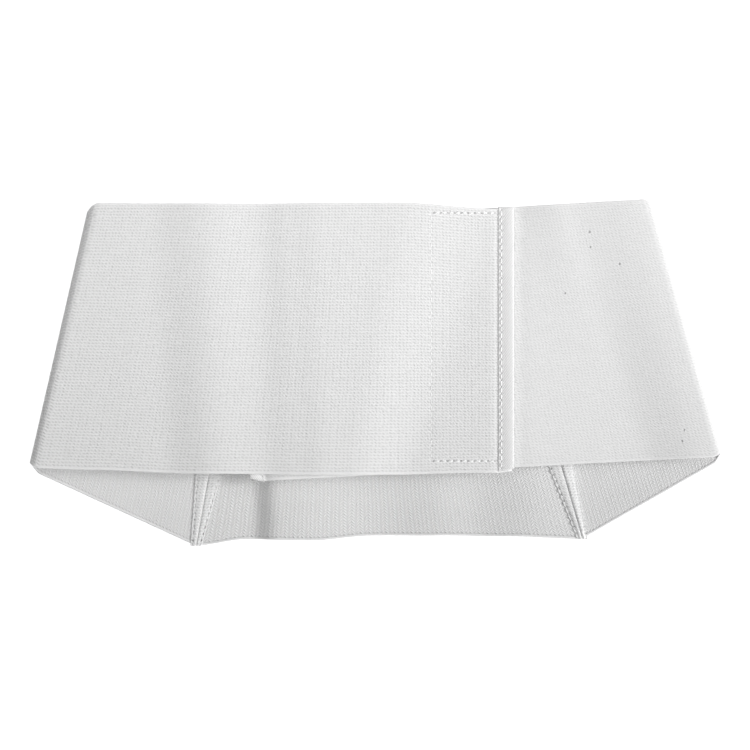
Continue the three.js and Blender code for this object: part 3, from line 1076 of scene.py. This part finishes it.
def base_wall():
    """A thin plate under the outer end, drawn to an edge at its upper and lower rim."""
    x = spaced(hook_left, hook_right, station_step)
    y = spaced(hook_upper, hook_upper - hook_length, station_step)
    flat = together(x[:, None], y)
    rim = np.ones(flat.shape[:2])
    rim[:, 0] = rim[:, -1] = 0
    upper = off_layer(outer_layer, flat, hook_lift - hook_base * (1 - rim) / 2)
    lower = off_layer(outer_layer, flat, hook_lift - hook_base * (1 + rim) / 2)
    points, faces, _ = closed_wall(upper, lower)
    return points, facing_out(points, faces)


# %% Studs
stud_pitch = 2.1 * MM
stud_size = 0.5 * MM
stud_taper = 0.7
stud_lean = 0.35 * MM


def stud_corners():
    """The eight corners of each stud: four at its foot and four at its leaning tip."""
    x = np.arange(hook_left + stud_pitch, hook_right - stud_pitch / 2, stud_pitch)
    y = np.arange(hook_upper - stud_pitch, hook_upper - hook_length + stud_pitch / 2, -stud_pitch)
    centre = together(x[:, None], y).reshape(-1, 1, 2)
    corner = np.array([[-1, -1], [1, -1], [1, 1], [-1, 1]]) * stud_size / 2
    foot = centre + corner
    tip = centre + corner * stud_taper + [stud_lean, 0]
    foot = off_layer(outer_layer, foot, np.full(foot.shape[:2], hook_lift - 0.8 * hook_base))
    tip = off_layer(outer_layer, tip, np.full(tip.shape[:2], hook_lift - hook_thickness))
    return np.concatenate([foot, tip], axis=1)


# %% The whole hook tape
def hook_tape():
    points, faces = base_wall()
    studs = stud_corners()
    quads = [[0, 1, 2, 3], [0, 4, 5, 1], [1, 5, 6, 2], [2, 6, 7, 3], [3, 7, 4, 0], [4, 7, 6, 5]]
    starts = len(points) + 8 * np.arange(len(studs))[:, None]
    for quad in facing_out(studs[0], quads):
        faces += (starts + quad).tolist()
    points = np.concatenate([points, studs.reshape(-1, 3)])
    piece = add_piece("hook_tape", points, faces, [nylon], None, {"weave": points[:, :2]})
    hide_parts("hook_strip")
    print("hook tape has", len(studs), "studs")
    return piece


hooks = hook_tape()

# %% [markdown]
# ## Seam allowances
# Inside the back, the raw edges of each seam are pressed apart and sewn down. They stand up as two
# soft lips along the seam, thicker at the seam and pulled in along the outer row of stitches.

# %% One lip
lip_row = 1.3 * MM
scallop = 0.65 * MM
lip_lift = 0.04 * MM
lip_step = 0.8 * MM
lip_furrow = 0.45
lip_furrow_width = 0.8 * MM


def lip_width(down):
    return lerp(flap_hem, flap_top, np.clip((1 - down) / flap_taper, 0, 1))


def seam_lip(name, node, seam, side, puff):
    """puff says how full the lip stands between the seam and its row of stitches."""
    waist, hem = seam
    share = spaced(0, 1, lip_step / band_width)
    line = lerp(waist[None, :], hem[None, :], share[:, None])
    width = lip_width(share)
    run = share * np.linalg.norm(waist - hem)
    stitch = 0.5 + 0.5 * np.cos(2 * math.pi * run / stitch_pitch)
    width = width - scallop * puff * stitch
    across = np.concatenate([[0, 0.02, 0.06, 0.13], np.linspace(0.22, 0.88, 9), [0.93, 0.97, 1]])
    reach = across[None, :] * width[:, None]
    x = line[:, :1] + side * (clearance / 2 + reach)
    flat = together(x, line[:, 1:])
    near = rounding(reach, 1.0 * MM)
    far = rounding(width[:, None] - reach, 0.5 * MM)
    row_gap = (lip_width(share) - lip_row)[:, None] - reach
    pull = lip_furrow * puff * (0.5 + 0.5 * stitch)[:, None]
    furrow = pull * np.exp(-(row_gap / lip_furrow_width) ** 2)
    slope = smooth(reach / width[:, None], 0.1, 1.0)
    body = lerp(0.25 + 0.4 * puff, puff, 1 - slope) - furrow
    base = cloth / 2 + lip_lift
    top = base + flap_cloth * near * far * np.maximum(body, 0.15)
    low = base + 0 * top
    upper = off_layer(back_layer, flat, top)
    lower = off_layer(back_layer, flat, low)
    maps = {"weave": together(reach, run[:, None]), "sewing": together(row_gap, run[:, None])}
    piece = add_wall(name, upper, lower, maps, [sewn_down, inside])
    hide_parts(node)
    return piece


lips = [
    seam_lip("left_seam_side_lip", "left_seam_side_flap", left_seam, -1, 0.55),
    seam_lip("left_seam_centre_lip", "left_seam_centre_flap", left_seam, 1, 0.55),
    seam_lip("right_seam_centre_lip", "right_seam_centre_flap", right_seam, -1, 1.0),
    seam_lip("right_seam_side_lip", "right_seam_side_flap", right_seam, 1, 1.2),
]

# %% [markdown]
# ## Stitches
# A lockstitch shows as a row of short threads that dive into the cloth at both ends. Each thread is a
# small tapered tube laid on the surface. Painted dashes would do from far away, but they catch no
# light, and the dimples at their ends are what the eye reads as sewing.

# %% Threads along a line
stitch_length = 3.0 * MM
thread_radius = 0.4 * MM
tape_thread_radius = 0.3 * MM
fine_radius = 0.2 * MM
thread_sides = 6
DIP = np.array([-0.32, 0.0, 0.1, 0.0, -0.32]) * MM
FULL = np.array([0.5, 0.95, 1.0, 0.95, 0.5])
SPREAD = np.array([0, 0.14, 0.5, 0.86, 1.0])


def threads(layer, start, end, lift, upward=1, radius=thread_radius):
    """Tubes of one row of stitches from start to end on the unrolled strip."""
    start, end = np.array(start), np.array(end)
    length = np.linalg.norm(end - start)
    count = int(length / stitch_pitch)
    first = first_hole(length) + (stitch_pitch - stitch_length) / 2
    run = first + np.arange(count)[:, None] * stitch_pitch + SPREAD[None, :] * stitch_length
    flat = start + (run / length)[..., None] * (end - start)
    normal = normals_of(layer, flat)
    centre = layer(flat) + normal * (upward * (lift + DIP))[None, :, None]
    forward = np.gradient(centre, axis=1)
    forward /= np.linalg.norm(forward, axis=-1, keepdims=True)
    aside = np.cross(forward, normal)
    turn = np.arange(thread_sides) * 2 * math.pi / thread_sides
    spoke = np.cos(turn)[:, None] * aside[:, :, None, :] + np.sin(turn)[:, None] * normal[:, :, None, :]
    rings = centre[:, :, None, :] + spoke * (radius * FULL)[None, :, None, None]
    return rings.reshape(count, -1, 3)


def sewn(name, rows_of_threads):
    """One object from all the threads of a seam."""
    tubes = np.concatenate(rows_of_threads)
    ring_count = len(DIP)
    faces = []
    for ring in range(ring_count - 1):
        for i in range(thread_sides):
            after = (i + 1) % thread_sides
            base = ring * thread_sides
            faces.append([base + i, base + after, base + thread_sides + after, base + thread_sides + i])
    last = (ring_count - 1) * thread_sides
    faces += [list(range(thread_sides))[::-1], list(range(last, last + thread_sides))]
    faces = facing_out(tubes[0], faces)
    starts = np.arange(len(tubes)) * tubes.shape[1]
    every = [[int(start) + corner for corner in face] for start in starts for face in faces]
    points = tubes.reshape(-1, 3)
    piece = add_piece(name, points, every, [thread], None, {"weave": points[:, :2]})
    print(name, "has", len(tubes), "stitches")
    return piece


# %% Rows of stitches
sunk = cloth / 2 + 0.05 * MM
on_patch = [(0.08 * MM, thread_radius), (0.12 * MM, thread_radius), (-0.16 * MM, fine_radius)]
patch_stitches = sewn("hook_patch_stitches", [threads(outer_layer, *line, sunk + lift, 1, radius)
                                              for line, (lift, radius) in zip(PATCH_LINES, on_patch)])


def binding_stitches(name, layer, x_waist, x_hem, waist_y, hem_y, inward):
    """One row on each face of a folded tape."""
    inset = binding_width - binding_row
    top = (x_waist + inward * inset, waist_y(x_waist) + clearance - row_margin)
    foot = (x_hem + inward * inset, hem_y(x_hem) - clearance + row_margin)
    on_tape = 0.7 * binding_reach
    sides = [threads(layer, foot, top, on_tape, upward, tape_thread_radius) for upward in (1, -1)]
    return sewn(name, sides)


outer_binding_row = binding_stitches("outer_binding_stitches", *OUTER_END)
inner_binding_row = binding_stitches("inner_binding_stitches", *INNER_END)


def seam_stitches(name, seam):
    """Rows on both lips, and the two rows that show on the outer face under them."""
    waist, hem = seam
    found = []
    on_lip = cloth / 2 + 0.3 * flap_cloth
    for side in (-1, 1):
        def place(down):
            aside = side * (clearance / 2 + lip_width(down) - lip_row)
            return lerp(waist, hem, down) + np.array([aside, 0])
        for upper_end, lower_end in ((0.02, 1 - flap_taper), (1 - flap_taper, 0.98)):
            ends = place(lower_end), place(upper_end)
            found.append(threads(back_layer, *ends, on_lip, 1, fine_radius))
            found.append(threads(back_layer, *ends, cloth / 2, -1, fine_radius))
    return sewn(name, found)


left_row = seam_stitches("left_seam_stitches", left_seam)
right_row = seam_stitches("right_seam_stitches", right_seam)

# %% [markdown]
# ## The cut cloth
# Each sheet's cut size is worked out as it is built and printed: the width of the elastic by the
# length along it. The area is that of its unrolled outline, because the ends and the wedge are cut on
# a slant.

# %% [markdown]
# ## Studio
# The binder lies on a white table and is seen from straight above, as in a shop's picture. The table
# glows a little, which keeps it white. A large far lamp low at the right rakes over the cloth and
# draws its waves and its crease. A spot from above fades from the waist edge to the hem, a small lamp
# close over the waist edge brings out the ribs, and a lamp at the foot softens the shadow under the
# front. One lamp alone would either flatten the weave or throw that shadow far too wide.


# %% Table
table_half = 3.0
table_glow = 0.65


def white_table():
    corners = np.array([(-1, -1, 0), (1, -1, 0), (1, 1, 0), (-1, 1, 0)]) * table_half
    mesh = bpy.data.meshes.new("table")
    mesh.from_pydata(corners.tolist(), [], [(0, 1, 2, 3)])
    table = bpy.data.objects.new("table", mesh)
    bpy.context.scene.collection.objects.link(table)
    finish = Finish("white_table", roughness=0.9, sheen=0.0)
    finish.shader.inputs["Base Color"].default_value = (0.8, 0.8, 0.8, 1)
    finish.shader.inputs["Emission Color"].default_value = (1, 1, 1, 1)
    finish.shader.inputs["Emission Strength"].default_value = table_glow
    mesh.materials.append(finish.material)
    return table


table = white_table()


# %% Lamps and sky
def aimed_lamp(light, place, aim, power):
    light.energy = power
    lamp = bpy.data.objects.new(light.name, light)
    bpy.context.scene.collection.objects.link(lamp)
    lamp.location = place
    toward = np.array(aim) - np.array(place)
    lamp.rotation_euler = mathutils.Vector(toward).to_track_quat("-Z", "Y").to_euler()
    return lamp


def area_lamp(name, place, size, power):
    light = bpy.data.lights.new(name, "AREA")
    light.shape = "SQUARE"
    light.size = size
    return aimed_lamp(light, place, (0, 0, 0), power)


def spot_lamp(name, place, aim, size, cone, power):
    light = bpy.data.lights.new(name, "SPOT")
    light.shadow_soft_size = size
    light.spot_size = math.radians(cone)
    light.spot_blend = 1.0
    return aimed_lamp(light, place, aim, power)


lamps = [
    area_lamp("key_lamp", (5.6, 0.0, 2.9), 2.6, 370),
    area_lamp("upper_lamp", (0.0, 0.24, 0.5), 0.4, 0.5),
    area_lamp("low_lamp", (-0.3, -2.0, 1.4), 1.4, 7.0),
    spot_lamp("top_lamp", (-0.02, -0.25, 1.6), (-0.02, 0.5, 0), 0.25, 60, 50),
]
print("lamps:", {lamp.name: lamp.data.energy for lamp in lamps})

# %% A dim white sky
sky_glow = 0.08
world = bpy.data.worlds.new("sky")
world.use_nodes = True
sky = world.node_tree.nodes["Background"]
sky.inputs["Color"].default_value = (1, 1, 1, 1)
sky.inputs["Strength"].default_value = sky_glow
bpy.context.scene.world = world
bpy.context.scene.view_settings.view_transform = "Standard"

# %% Camera
view_height = 1.5
view_width = 0.453
sensor = 36
camera_data = bpy.data.cameras.new("camera")
camera_data.sensor_width = sensor
camera_data.lens = sensor * view_height / view_width
camera = bpy.data.objects.new("camera", camera_data)
bpy.context.scene.collection.objects.link(camera)
seen_height = 0.012
seen_middle = np.array([-0.6 * MM, -0.6 * MM]) + shift[:2]
camera.location = (*seen_middle, view_height + seen_height)
bpy.context.scene.camera = camera
print("camera", [round(value, 3) for value in camera.location], "lens", round(camera_data.lens, 1))
